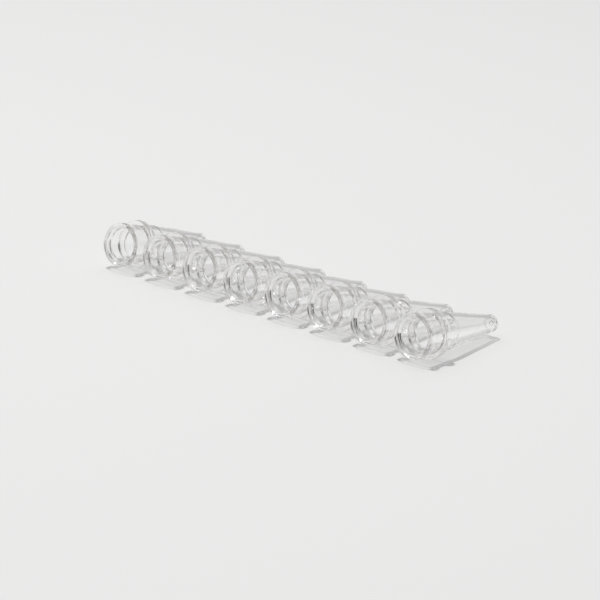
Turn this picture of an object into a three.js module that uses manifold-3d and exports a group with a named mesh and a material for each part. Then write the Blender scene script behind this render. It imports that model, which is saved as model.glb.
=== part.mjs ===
// PCR tube strip: eight open 0.2 ml tubes and the webs between them, moulded as one piece.
// It lies on its side. X runs along the strip, Y from the mouths towards the tips, Z is up.
// Sizes are in millimetres. A depth is measured along a tube, from the plane of its mouth.
import * as THREE from 'three';
import { mergeVertices } from 'three/addons/utils/BufferGeometryUtils.js';
import Module from 'manifold-3d';

// Strip
const TUBE_COUNT = 8;
const PITCH = 9;
const WEB_HEIGHT = 3.2;
const WEB_THICKNESS = 0.9;
const WEB_TWIST_DEG = [0, 0, 0, 0, 0, 1.5, 1.7]; // how far each web is bent, lifting the last tips

// Cavity of a tube
const MOUTH_R = 2.69;
const MOUTH_FLARE = 0.45; // the mouth opens out by this much
const MOUTH_FLARE_DEPTH = 1;
const STRAIGHT_TAPER = 0.11; // the cavity narrows by this before it becomes a cone
const STRAIGHT_MARGIN = 0.2; // and it becomes a cone this far above the end of the skirt
const CAVITY_TIP_R = 1;
const FLOOR_THICKNESS = 0.65;
const FLOOR_ROUNDING = 0.4;
const FLOOR_STEPS = 3;

// Walls of a tube
const TUBE_LENGTH = 20.8;
const NECK_WALL = 0.57;
const RIM_LIP = 0.41;
const RIM_THICKNESS = 1.25;
const RIM_ROUNDING = 0.08;
const FLANGE_LIP = 0.8;
const FLANGE_DEPTH = 3.65;
const FLANGE_THICKNESS = 1.2;
const SKIRT_WALL = 0.55;
const SKIRT_DEPTH = 8.1; // where the skirt under the flange steps in to the cone
const SKIRT_STEP = 0.3;
const CONE_WALL = 0.45;
const TIP_ROUNDING = 0.15;
const GATE_R = 0.4;
const GATE_DEPTH = 0.35;

const ROUND_SEGMENTS = 24; // a multiple of four, so that the widths across are true
const CLEAR_CUT = 1; // how far a cutting solid runs past the face that it opens

const straightR = MOUTH_R - STRAIGHT_TAPER;
const straightDepth = SKIRT_DEPTH - STRAIGHT_MARGIN;
const neckR = MOUTH_R + NECK_WALL;
const rimR = neckR + RIM_LIP;
const flangeR = neckR + FLANGE_LIP;
const skirtR = straightR + SKIRT_WALL;
const coneR = straightR + CONE_WALL;
const tipR = CAVITY_TIP_R + CONE_WALL;
const flangeBack = FLANGE_DEPTH + FLANGE_THICKNESS;
const flangeMiddle = FLANGE_DEPTH + FLANGE_THICKNESS / 2;
const coneDepth = SKIRT_DEPTH + SKIRT_STEP;

const wasm = await Module();
wasm.setup();

// Profiles are lists of [radius, depth] that start and end on the tube's axis.
function outerProfile() {
  return [
    [0, 0],
    [rimR - RIM_ROUNDING, 0],
    [rimR, RIM_ROUNDING],
    [rimR, RIM_THICKNESS - RIM_ROUNDING],
    [rimR - RIM_ROUNDING, RIM_THICKNESS],
    [neckR, RIM_THICKNESS],
    [neckR, FLANGE_DEPTH],
    [flangeR, FLANGE_DEPTH],
    [flangeR, flangeBack],
    [skirtR, flangeBack],
    [skirtR, SKIRT_DEPTH],
    [coneR, coneDepth],
    [tipR, TUBE_LENGTH - TIP_ROUNDING],
    [tipR - TIP_ROUNDING, TUBE_LENGTH],
    [GATE_R, TUBE_LENGTH],
    [GATE_R, TUBE_LENGTH - GATE_DEPTH],
    [0, TUBE_LENGTH - GATE_DEPTH],
  ];
}

function cavityProfile() {
  const floorDepth = TUBE_LENGTH - FLOOR_THICKNESS;
  const profile = [
    [0, -CLEAR_CUT],
    [MOUTH_R + MOUTH_FLARE, -CLEAR_CUT],
    [MOUTH_R + MOUTH_FLARE, 0],
    [MOUTH_R, MOUTH_FLARE_DEPTH],
    [straightR, straightDepth],
  ];
  for (let i = 0; i <= FLOOR_STEPS; i++) {
    const turn = (Math.PI / 2) * (i / FLOOR_STEPS);
    profile.push([
      CAVITY_TIP_R - FLOOR_ROUNDING * (1 - Math.cos(turn)),
      floorDepth - FLOOR_ROUNDING * (1 - Math.sin(turn)),
    ]);
  }
  profile.push([0, floorDepth]);
  return profile;
}

function solidOf(geometry) {
  const bare = geometry.clone();
  bare.deleteAttribute('normal');
  bare.deleteAttribute('uv');
  const merged = mergeVertices(bare);
  const corners = merged.index.array;
  const triVerts = [];
  for (let i = 0; i < corners.length; i += 3) {
    const [a, b, c] = corners.slice(i, i + 3);
    if (a !== b && b !== c && c !== a) triVerts.push(a, b, c);
  }
  const vertProperties = merged.attributes.position.array;
  const mesh = new wasm.Mesh({ numProp: 3, vertProperties, triVerts: new Uint32Array(triVerts) });
  return new wasm.Manifold(mesh);
}

function turned(profile, x) {
  const points = profile.map(([radius, depth]) => new THREE.Vector2(radius, depth));
  const geometry = new THREE.LatheGeometry(points, ROUND_SEGMENTS);
  return solidOf(geometry.translate(x, 0, 0));
}

// The web is a flat plate in the flange's depth. It ends inside the walls of both tubes.
function web(leftX) {
  const inset = MOUTH_R + NECK_WALL / 2;
  const geometry = new THREE.BoxGeometry(PITCH - 2 * inset, WEB_THICKNESS, WEB_HEIGHT);
  return solidOf(geometry.translate(leftX + PITCH / 2, flangeMiddle, 0));
}

function tubeX(index) {
  return (index - (TUBE_COUNT - 1) / 2) * PITCH;
}

function straightStrip() {
  let strip = turned(outerProfile(), tubeX(0));
  for (let i = 1; i < TUBE_COUNT; i++) {
    strip = strip.add(turned(outerProfile(), tubeX(i))).add(web(tubeX(i - 1)));
  }
  for (let i = 0; i < TUBE_COUNT; i++) {
    strip = strip.subtract(turned(cavityProfile(), tubeX(i)));
  }
  return strip.getMesh();
}

// Each point turns with its nearest tube, about the line through the middles of the flanges.
function twistedGeometry({ vertProperties, triVerts }) {
  const position = new THREE.BufferAttribute(new Float32Array(vertProperties), 3);
  const point = new THREE.Vector3();
  const pivot = new THREE.Vector3(0, flangeMiddle, 0);
  for (let i = 0; i < position.count; i++) {
    point.fromBufferAttribute(position, i);
    const nearest = Math.round((point.x - tubeX(0)) / PITCH);
    const bends = WEB_TWIST_DEG.slice(0, Math.min(Math.max(nearest, 0), TUBE_COUNT - 1));
    const lift = THREE.MathUtils.degToRad(bends.reduce((sum, bend) => sum + bend, 0));
    point.sub(pivot).applyAxisAngle(new THREE.Vector3(1, 0, 0), lift).add(pivot);
    position.setXYZ(i, point.x, point.y, point.z);
  }
  const geometry = new THREE.BufferGeometry();
  geometry.setAttribute('position', position);
  geometry.setIndex(new THREE.BufferAttribute(new Uint32Array(triVerts), 1));
  geometry.computeVertexNormals();
  return geometry;
}

// The strip lies on the back edges of its flanges, and tips back until the tubes touch too.
function restTilt() {
  const behind = outerProfile().filter(([, depth]) => depth > flangeBack);
  return Math.min(...behind.map(([radius, depth]) => Math.atan2(flangeR - radius, depth - flangeBack)));
}

function layDown(mesh) {
  mesh.rotation.x = -restTilt();
  const box = new THREE.Box3().setFromObject(mesh, true);
  const middle = box.getCenter(new THREE.Vector3());
  mesh.position.set(-middle.x, -middle.y, -box.min.z);
  return mesh;
}

function tubeStrip() {
  const clearPlastic = new THREE.MeshStandardMaterial({
    color: 0xe6eaea,
    roughness: 0.08,
    metalness: 0,
    transparent: true,
    opacity: 0.35,
  });
  const strip = new THREE.Mesh(twistedGeometry(straightStrip()), clearPlastic);
  strip.name = 'tube_strip';
  return layDown(strip);
}

const group = new THREE.Group();
group.add(tubeStrip());

export default group;
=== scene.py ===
"""A clear PCR tube strip lying on a pale floor.

Lengths are in millimetres until they are placed, and metres in the scene. A tube's depth runs along +Y
from the plane of its mouth, before the strip is laid down. X runs along the strip and Z is up.
"""
import math

import bpy
from mathutils import Matrix, Vector


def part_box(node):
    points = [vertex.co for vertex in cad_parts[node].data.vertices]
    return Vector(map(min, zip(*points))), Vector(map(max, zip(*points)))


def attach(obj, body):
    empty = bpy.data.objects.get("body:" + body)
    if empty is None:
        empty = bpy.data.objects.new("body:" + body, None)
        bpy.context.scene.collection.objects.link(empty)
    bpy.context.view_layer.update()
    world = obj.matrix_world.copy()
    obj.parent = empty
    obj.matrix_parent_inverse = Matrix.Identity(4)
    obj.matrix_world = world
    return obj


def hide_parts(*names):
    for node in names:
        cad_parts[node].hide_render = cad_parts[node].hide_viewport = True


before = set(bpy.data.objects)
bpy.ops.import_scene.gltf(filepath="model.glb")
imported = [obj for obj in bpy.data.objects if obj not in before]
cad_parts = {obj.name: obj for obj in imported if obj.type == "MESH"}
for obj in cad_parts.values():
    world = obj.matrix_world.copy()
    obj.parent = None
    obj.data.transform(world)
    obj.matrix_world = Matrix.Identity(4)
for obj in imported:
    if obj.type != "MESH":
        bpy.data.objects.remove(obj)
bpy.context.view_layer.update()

NODE = "tube_strip"
PIECE = "tube_strip_clear"
MM = 0.001

# Strip, as in the CAD
TUBE_COUNT = 8
PITCH = 9.0
WEB_TWIST_DEG = (0, 0, 0, 0, 0, 1.5, 1.7)
REST_TILT_DEG = 9.38

# Cavity of a tube
MOUTH_R = 2.69
MOUTH_FLARE = 0.45
MOUTH_FLARE_DEPTH = 1.0
MOUTH_ROUNDING = 0.3
STRAIGHT_TAPER = 0.11
STRAIGHT_MARGIN = 0.2
STRAIGHT_ROUNDING = 1.0
CAVITY_TIP_R = 1.0
FLOOR_THICKNESS = 0.65
CAVITY_FLOOR_ROUNDING = 0.36

# Walls of a tube
TUBE_LENGTH = 20.8
NECK_WALL = 0.57
RIM_LIP = 0.41
RIM_THICKNESS = 1.25
RIM_ROUNDING = 0.08
FLANGE_LIP = 0.8
FLANGE_DEPTH = 3.65
FLANGE_THICKNESS = 1.2
FLANGE_ROUNDING = 0.15
SKIRT_WALL = 0.55
SKIRT_DEPTH = 8.1
SKIRT_STEP = 0.3
SKIRT_ROUNDING = 0.9
CONE_WALL = 0.45
TIP_ROUNDING = 0.15
GATE_R = 0.4
GATE_DEPTH = 0.35
GATE_ROUNDING = 0.3
INNER_ROUNDING = 0.08

# Webs between the flanges
WEB_THICKNESS = 0.9
WEB_FILLET = 0.12
FILLET_STEPS = 3

ROUND_SEGMENTS = 96
WEB_HALF_COLUMNS = 6  # of the round segments: the web's half height on the flange
ARC_STEP_DEG = 15
SAME = 1e-6  # lengths closer than this are the same

# Plastic
PLASTIC_IOR = 1.49
HAZE_SCALE = 300
HAZE_DETAIL = 3
HAZE_ROUGHNESS = (0.0, 0.06)
VOLUME_COLOUR = (0.15, 0.08, 0.0, 1)
VOLUME_DENSITY = 12  # per metre
SHADOW_EDGE = (0.35, 0.82)  # Facing of a lamp's ray, where a surface starts to stop it and where it ends
SHADOW_PASSED = (0.96, 0)  # the share of the ray that a surface passes at each of them

# Floor
FLOOR_SIDE = 6.0
FLOOR_COLOUR = (0.745, 0.745, 0.742, 1)

# Camera. At azimuth 0 it looks along +Y, and at 90 along -X.
VIEW_AZIMUTH_DEG = 39.53
VIEW_ELEVATION_DEG = 17.61
VIEW_ROLL_DEG = 3.12
VIEW_DISTANCE = 509.0
VIEW_TARGET = Vector((5.8, -6.88, 3.55))
LENS = 188.7
SENSOR = 36.0
CLIP = (0.01, 20)

# Lamp, with its azimuth counted as the camera's is. Its lengths are in metres.
LAMP_AZIMUTH_DEG = 300
LAMP_ELEVATION_DEG = 80
LAMP_DISTANCE = 1.0
LAMP_SIDE = 0.06
LAMP_WATTS = 5.3

# Room. A fade is where it starts and ends on a unit sphere, towards the dark side or up.
DARK_SIDE_AZIMUTH_DEG = 70
DARK_SIDE_FADE = (-0.6, 0.5)
DARK_SIDE_STRENGTH = (0.52, 0)
CEILING_FADE = (0.4, 0.8)
CEILING_STRENGTH = (0, 0.54)

LIGHT_BOUNCES = 256  # light runs a long way inside the walls
LAMP_RAY_CROSSINGS = 64  # surfaces on its way to the floor

neck_r = MOUTH_R + NECK_WALL
rim_r = neck_r + RIM_LIP
flange_r = neck_r + FLANGE_LIP
straight_r = MOUTH_R - STRAIGHT_TAPER
skirt_r = straight_r + SKIRT_WALL
cone_r = straight_r + CONE_WALL
tip_r = CAVITY_TIP_R + CONE_WALL
flange_back = FLANGE_DEPTH + FLANGE_THICKNESS
flange_middle = FLANGE_DEPTH + FLANGE_THICKNESS / 2
floor_depth = TUBE_LENGTH - FLOOR_THICKNESS


def turned_left(direction):
    return Vector((-direction.y, direction.x))


def rounded_corner(before, corner, after, rounding):
    """The points of an arc round one corner of a profile, each with the surface's outward normal."""
    incoming = (corner - before).normalized()
    outgoing = (after - corner).normalized()
    bend = -incoming.angle_signed(outgoing)  # positive to the left, which is out of the wall
    reach = rounding * math.tan(abs(bend) / 2)
    side = 1 if bend > 0 else -1
    centre = corner - incoming * reach + turned_left(incoming) * rounding * side
    steps = max(1, math.ceil(math.degrees(abs(bend)) / ARC_STEP_DEG))
    arc = []
    for i in range(steps + 1):
        turn = Matrix.Rotation(bend * i / steps, 2)
        normal = turned_left(turn @ incoming)
        arc.append((centre - normal * rounding * side, normal))
    return arc


def rounded_profile(corners):
    """Corners are (radius, depth, rounding), from the axis to the axis. Returns (point, normal) pairs."""
    points = [Vector(corner[:2]) for corner in corners]
    profile = [(points[0], Vector((0, 1)))]
    for i in range(1, len(points) - 1):
        rounding = corners[i][2]
        if rounding:
            profile += rounded_corner(points[i - 1], points[i], points[i + 1], rounding)
        else:
            profile.append((points[i], turned_left((points[i + 1] - points[i - 1]).normalized())))
    profile.append((points[-1], Vector((0, -1))))
    return profile


def tube_profile():
    """One closed wall: out from the tip's gate mark, up the outside, over the rim and down the cavity."""
    web_edge = WEB_THICKNESS / 2
    return rounded_profile([
        (0, TUBE_LENGTH - GATE_DEPTH, 0),
        (GATE_R, TUBE_LENGTH - GATE_DEPTH, GATE_ROUNDING),
        (GATE_R, TUBE_LENGTH, INNER_ROUNDING),
        (tip_r, TUBE_LENGTH, TIP_ROUNDING),
        (cone_r, SKIRT_DEPTH + SKIRT_STEP, SKIRT_ROUNDING),
        (skirt_r, SKIRT_DEPTH, SKIRT_ROUNDING),
        (skirt_r, flange_back, INNER_ROUNDING),
        (flange_r, flange_back, FLANGE_ROUNDING),
        (flange_r, flange_middle + web_edge, 0),
        (flange_r, flange_middle - web_edge, 0),
        (flange_r, FLANGE_DEPTH, FLANGE_ROUNDING),
        (neck_r, FLANGE_DEPTH, INNER_ROUNDING),
        (neck_r, RIM_THICKNESS, INNER_ROUNDING),
        (rim_r, RIM_THICKNESS, RIM_ROUNDING),
        (rim_r, 0, RIM_ROUNDING),
        (MOUTH_R + MOUTH_FLARE, 0, MOUTH_ROUNDING),
        (MOUTH_R, MOUTH_FLARE_DEPTH, MOUTH_ROUNDING),
        (straight_r, SKIRT_DEPTH - STRAIGHT_MARGIN, STRAIGHT_ROUNDING),
        (CAVITY_TIP_R, floor_depth, CAVITY_FLOOR_ROUNDING),
        (0, floor_depth, 0),
    ])


def tube_x(index):
    return (index - (TUBE_COUNT - 1) / 2) * PITCH


def twist(index):
    """Tube number index turns about the line through the flanges' middles, its tip up."""
    lift = Matrix.Rotation(math.radians(sum(WEB_TWIST_DEG[:index])), 4, "X")
    pivot = Matrix.Translation((0, flange_middle, 0))
    return pivot @ lift @ pivot.inverted()


class StripMesh:
    """Vertices, faces and a normal for every face corner. A zero normal is left to Blender."""

    def __init__(self):
        self.points = []
        self.normals = []
        self.faces = []
        self.corner_normals = []

    def vertex(self, point, normal=Vector()):
        self.points.append(point)
        self.normals.append(normal)
        return len(self.points) - 1

    def face(self, *corners):
        self.faces.append(corners)
        self.corner_normals += [self.normals[c] for c in corners]


def ring_angle(column):
    return math.tau * column / ROUND_SEGMENTS


def add_tube(mesh, index, profile):
    """Adds one tube's surface, open where a web joins its flange. Returns its grid of vertices."""
    place = twist(index)
    shift = Matrix.Translation((tube_x(index), 0, 0))
    rows = []
    for point, normal in profile:
        columns = ROUND_SEGMENTS if point.x > SAME else 1
        row = []
        for column in range(columns):
            c, s = math.cos(ring_angle(column)), math.sin(ring_angle(column))
            where = shift @ place @ Vector((point.x * c, point.y, point.x * s))
            facing = place.to_3x3() @ Vector((normal.x * c, normal.y, normal.x * s))
            row.append(mesh.vertex(where, facing))
        rows.append(row)
    for k, (this, following) in enumerate(zip(rows, rows[1:])):
        for column in range(ROUND_SEGMENTS):
            beside = (column + 1) % ROUND_SEGMENTS
            if is_web_patch(profile, k, column, index):
                continue
            if len(this) == 1:
                mesh.face(this[0], following[beside], following[column])
            elif len(following) == 1:
                mesh.face(this[column], this[beside], following[0])
            else:
                mesh.face(this[column], this[beside], following[beside], following[column])
    return rows


def is_web_row(profile, k):
    """Whether the profile's step after point k is on the flange's rim, in the web's thickness."""
    web_edge = WEB_THICKNESS / 2 + SAME
    here, following = profile[k][0], profile[k + 1][0]
    on_side = abs(here.x - flange_r) < SAME and abs(following.x - flange_r) < SAME
    return on_side and all(abs(p.y - flange_middle) < web_edge for p in (here, following))


def is_web_patch(profile, k, column, index):
    """Whether a face of tube number index is covered by the end of a web."""
    if not is_web_row(profile, k):
        return False
    half = WEB_HALF_COLUMNS
    right = (column + half) % ROUND_SEGMENTS < 2 * half
    left = (column + half - ROUND_SEGMENTS // 2) % ROUND_SEGMENTS < 2 * half
    return (right and index < TUBE_COUNT - 1) or (left and index > 0)


def patch_outline(profile, rows, side):
    """The vertices round a web's patch on the flange: side is 1 at the right of a tube, -1 at its left."""
    web_rows = [k for k in range(len(profile) - 1) if is_web_row(profile, k)]
    back, front = web_rows[0], web_rows[-1] + 1
    steps = range(-WEB_HALF_COLUMNS, WEB_HALF_COLUMNS + 1)
    if side > 0:
        columns = [step % ROUND_SEGMENTS for step in steps]
    else:
        columns = [(ROUND_SEGMENTS // 2 - step) % ROUND_SEGMENTS for step in steps]
    up_the_back = [rows[back][c] for c in columns]
    down_the_front = [rows[front][c] for c in reversed(columns)]
    return up_the_back + down_the_front


def add_web(mesh, left_outline, right_outline):
    """A plate between two flanges, with a small fillet where it meets each of them."""
    loops = [left_outline]
    for step in range(1, FILLET_STEPS + 1):
        loops.append(fillet_loop(mesh, left_outline, 1, step))
    for step in range(FILLET_STEPS, 0, -1):
        loops.append(fillet_loop(mesh, right_outline, -1, step))
    loops.append(right_outline)
    count = len(left_outline)
    for this, following in zip(loops, loops[1:]):
        for i in range(count):
            j = (i + 1) % count
            mesh.face(this[i], following[i], following[j], this[j])


def fillet_loop(mesh, outline, direction, step):
    """One ring of a fillet's quarter circle, a step away from an outline along X."""
    turn = math.pi / 2 * step / FILLET_STEPS
    out = WEB_FILLET * (1 - math.cos(turn)) * direction
    inset = WEB_FILLET * math.sin(turn)
    points = [mesh.points[v] for v in outline]
    centre = sum(points, Vector()) / len(points)
    height = max(abs(p.z - centre.z) for p in points)
    loop = []
    for point in points:
        across = point - centre
        y = across.y - math.copysign(inset, across.y)
        z = across.z * (height - inset) / height
        loop.append(mesh.vertex(Vector((point.x + out, centre.y + y, centre.z + z))))
    return loop


def strip_mesh():
    profile = tube_profile()
    mesh = StripMesh()
    grids = [add_tube(mesh, index, profile) for index in range(TUBE_COUNT)]
    for left, right in zip(grids, grids[1:]):
        add_web(mesh, patch_outline(profile, left, 1), patch_outline(profile, right, -1))
    return mesh


def laid_down(mesh):
    """The place of the strip at rest: tilted on to its flanges and tips, in the CAD's box."""
    tilt = Matrix.Rotation(-math.radians(REST_TILT_DEG), 4, "X") @ Matrix.Scale(MM, 4)
    points = [tilt @ p for p in mesh.points]
    low = Vector(min(p[i] for p in points) for i in range(3))
    high = Vector(max(p[i] for p in points) for i in range(3))
    box_low, box_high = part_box(NODE)
    shift = (box_low + box_high - low - high) / 2
    shift.z = box_low.z - low.z
    return Matrix.Translation(shift) @ tilt


def build_strip():
    mesh = strip_mesh()
    place = laid_down(mesh)
    data = bpy.data.meshes.new(PIECE)
    data.from_pydata([place @ p for p in mesh.points], [], mesh.faces)
    data.polygons.foreach_set("use_smooth", [True] * len(data.polygons))
    turn = place.to_3x3().normalized()
    data.normals_split_custom_set([turn @ n for n in mesh.corner_normals])
    data.validate()
    piece = bpy.data.objects.new(PIECE, data)
    bpy.context.scene.collection.objects.link(piece)
    return piece


class Nodes:
    """Adds nodes to a shader's tree and links them by name."""

    def __init__(self, tree):
        self.tree = tree
        tree.nodes.clear()

    def add(self, kind, **settings):
        node = self.tree.nodes.new(kind)
        for name, value in settings.items():
            setattr(node, name, value)
        return node

    def link(self, source, output, target, socket):
        self.tree.links.new(source.outputs[output], target.inputs[socket])

    def map_range(self, source, output, source_range, target_range, shape="LINEAR"):
        node = self.add("ShaderNodeMapRange", interpolation_type=shape)
        node.inputs["From Min"].default_value, node.inputs["From Max"].default_value = source_range
        node.inputs["To Min"].default_value, node.inputs["To Max"].default_value = target_range
        self.link(source, output, node, "Value")
        return node


def new_material(name):
    material = bpy.data.materials.new(name)
    material.use_nodes = True
    return material, Nodes(material.node_tree)


def lets_lamps_through(nodes, shader):
    """The shader, but a lamp's light goes straight on where it crosses face on, and stops at the edges."""
    facing = nodes.add("ShaderNodeLayerWeight")
    passed = nodes.map_range(facing, "Facing", SHADOW_EDGE, SHADOW_PASSED, "SMOOTHSTEP")
    straight_on = nodes.add("ShaderNodeBsdfTransparent")
    nodes.link(passed, "Result", straight_on, "Color")
    path = nodes.add("ShaderNodeLightPath")
    mix = nodes.add("ShaderNodeMixShader")
    nodes.link(path, "Is Shadow Ray", mix, 0)
    nodes.link(shader, 0, mix, 1)
    nodes.link(straight_on, 0, mix, 2)
    return mix


def clear_plastic():
    material, nodes = new_material("clear_polypropylene")
    place = nodes.add("ShaderNodeTexCoord")
    haze = nodes.add("ShaderNodeTexNoise")
    haze.inputs["Scale"].default_value = HAZE_SCALE
    haze.inputs["Detail"].default_value = HAZE_DETAIL
    nodes.link(place, "Object", haze, "Vector")
    roughness = nodes.map_range(haze, "Fac", (0, 1), HAZE_ROUGHNESS)
    plastic = nodes.add("ShaderNodeBsdfPrincipled")
    plastic.inputs["Base Color"].default_value = (1, 1, 1, 1)
    plastic.inputs["IOR"].default_value = PLASTIC_IOR
    plastic.inputs["Transmission Weight"].default_value = 1.0
    nodes.link(roughness, "Result", plastic, "Roughness")
    out = nodes.add("ShaderNodeOutputMaterial")
    nodes.link(lets_lamps_through(nodes, plastic), 0, out, "Surface")
    absorption = nodes.add("ShaderNodeVolumeAbsorption")
    absorption.inputs["Color"].default_value = VOLUME_COLOUR
    absorption.inputs["Density"].default_value = VOLUME_DENSITY
    nodes.link(absorption, 0, out, "Volume")
    return material


def floor_material():
    material, nodes = new_material("pale_floor")
    paint = nodes.add("ShaderNodeBsdfPrincipled")
    paint.inputs["Base Color"].default_value = FLOOR_COLOUR
    paint.inputs["Specular IOR Level"].default_value = 0.0  # no glints of the lamp by way of the plastic
    out = nodes.add("ShaderNodeOutputMaterial")
    nodes.link(paint, 0, out, "Surface")
    return material


def add_floor():
    half = FLOOR_SIDE / 2
    data = bpy.data.meshes.new("floor")
    corners = [(-half, -half, 0), (half, -half, 0), (half, half, 0), (-half, half, 0)]
    data.from_pydata(corners, [], [(0, 1, 2, 3)])
    floor = bpy.data.objects.new("floor", data)
    bpy.context.scene.collection.objects.link(floor)
    data.materials.append(floor_material())


def bearing(azimuth_deg, elevation_deg=0):
    """The direction from the strip to what stands at an azimuth and an elevation."""
    azimuth, elevation = math.radians(azimuth_deg), math.radians(elevation_deg)
    return Vector((
        math.cos(elevation) * math.sin(azimuth),
        -math.cos(elevation) * math.cos(azimuth),
        math.sin(elevation),
    ))


def facing_from(towards, place):
    """The matrix of a camera or a lamp that stands at a place and looks back at the strip."""
    return Matrix.Translation(place) @ towards.to_track_quat("Z", "Y").to_matrix().to_4x4()


def add_camera():
    towards = bearing(VIEW_AZIMUTH_DEG, VIEW_ELEVATION_DEG)
    camera = bpy.data.objects.new("camera", bpy.data.cameras.new("camera"))
    camera.data.lens = LENS
    camera.data.sensor_width = SENSOR
    camera.data.clip_start, camera.data.clip_end = CLIP
    roll = Matrix.Rotation(math.radians(VIEW_ROLL_DEG), 4, "Z")
    camera.matrix_world = facing_from(towards, (VIEW_TARGET + towards * VIEW_DISTANCE) * MM) @ roll
    bpy.context.scene.collection.objects.link(camera)
    bpy.context.scene.camera = camera


def add_lamp():
    """A square lamp that faces the strip.

    The floor has its light only straight or through lets_lamps_through, and not by refraction as well.
    """
    lamp = bpy.data.lights.new("top_light", "AREA")
    lamp.shape = "SQUARE"
    lamp.size = LAMP_SIDE
    lamp.energy = LAMP_WATTS
    lamp.use_nodes = True
    nodes = Nodes(lamp.node_tree)
    path = nodes.add("ShaderNodeLightPath")
    before_floor = nodes.add("ShaderNodeMath", operation="LESS_THAN")
    nodes.link(path, "Diffuse Depth", before_floor, 0)
    before_floor.inputs[1].default_value = 0.5  # between no bounce off the floor and one
    emission = nodes.add("ShaderNodeEmission")
    nodes.link(before_floor, "Value", emission, "Strength")
    out = nodes.add("ShaderNodeOutputLight")
    nodes.link(emission, 0, out, "Surface")
    softbox = bpy.data.objects.new("top_light", lamp)
    towards = bearing(LAMP_AZIMUTH_DEG, LAMP_ELEVATION_DEG)
    softbox.matrix_world = facing_from(towards, towards * LAMP_DISTANCE)
    bpy.context.scene.collection.objects.link(softbox)


def add_world():
    """A room that is darker towards one azimuth, under a bright ceiling."""
    world = bpy.data.worlds.new("studio")
    world.use_nodes = True
    nodes = Nodes(world.node_tree)
    place = nodes.add("ShaderNodeTexCoord")
    side = nodes.add("ShaderNodeVectorMath", operation="DOT_PRODUCT")
    side.inputs[1].default_value = bearing(DARK_SIDE_AZIMUTH_DEG)
    nodes.link(place, "Generated", side, 0)
    walls = nodes.map_range(side, "Value", DARK_SIDE_FADE, DARK_SIDE_STRENGTH, "SMOOTHSTEP")
    height = nodes.add("ShaderNodeSeparateXYZ")
    nodes.link(place, "Generated", height, "Vector")
    ceiling = nodes.map_range(height, "Z", CEILING_FADE, CEILING_STRENGTH, "SMOOTHSTEP")
    total = nodes.add("ShaderNodeMath", operation="ADD")
    nodes.link(walls, "Result", total, 0)
    nodes.link(ceiling, "Result", total, 1)
    background = nodes.add("ShaderNodeBackground")
    background.inputs["Color"].default_value = (1, 1, 1, 1)
    nodes.link(total, "Value", background, "Strength")
    out = nodes.add("ShaderNodeOutputWorld")
    nodes.link(background, 0, out, "Surface")
    world.cycles.sampling_method = "NONE"  # or lets_lamps_through would count its light twice
    bpy.context.scene.world = world


strip = build_strip()
strip.data.materials.append(clear_plastic())
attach(strip, "root")
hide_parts(NODE)
add_floor()
add_camera()
add_lamp()
add_world()

scene = bpy.context.scene
scene.view_settings.view_transform = "Standard"
scene.cycles.max_bounces = LIGHT_BOUNCES
scene.cycles.glossy_bounces = LIGHT_BOUNCES
scene.cycles.transmission_bounces = LIGHT_BOUNCES
scene.cycles.transparent_max_bounces = LAMP_RAY_CROSSINGS
scene.cycles.blur_glossy = 0.0  # sharp refraction
scene.cycles.sample_clamp_indirect = 0.0
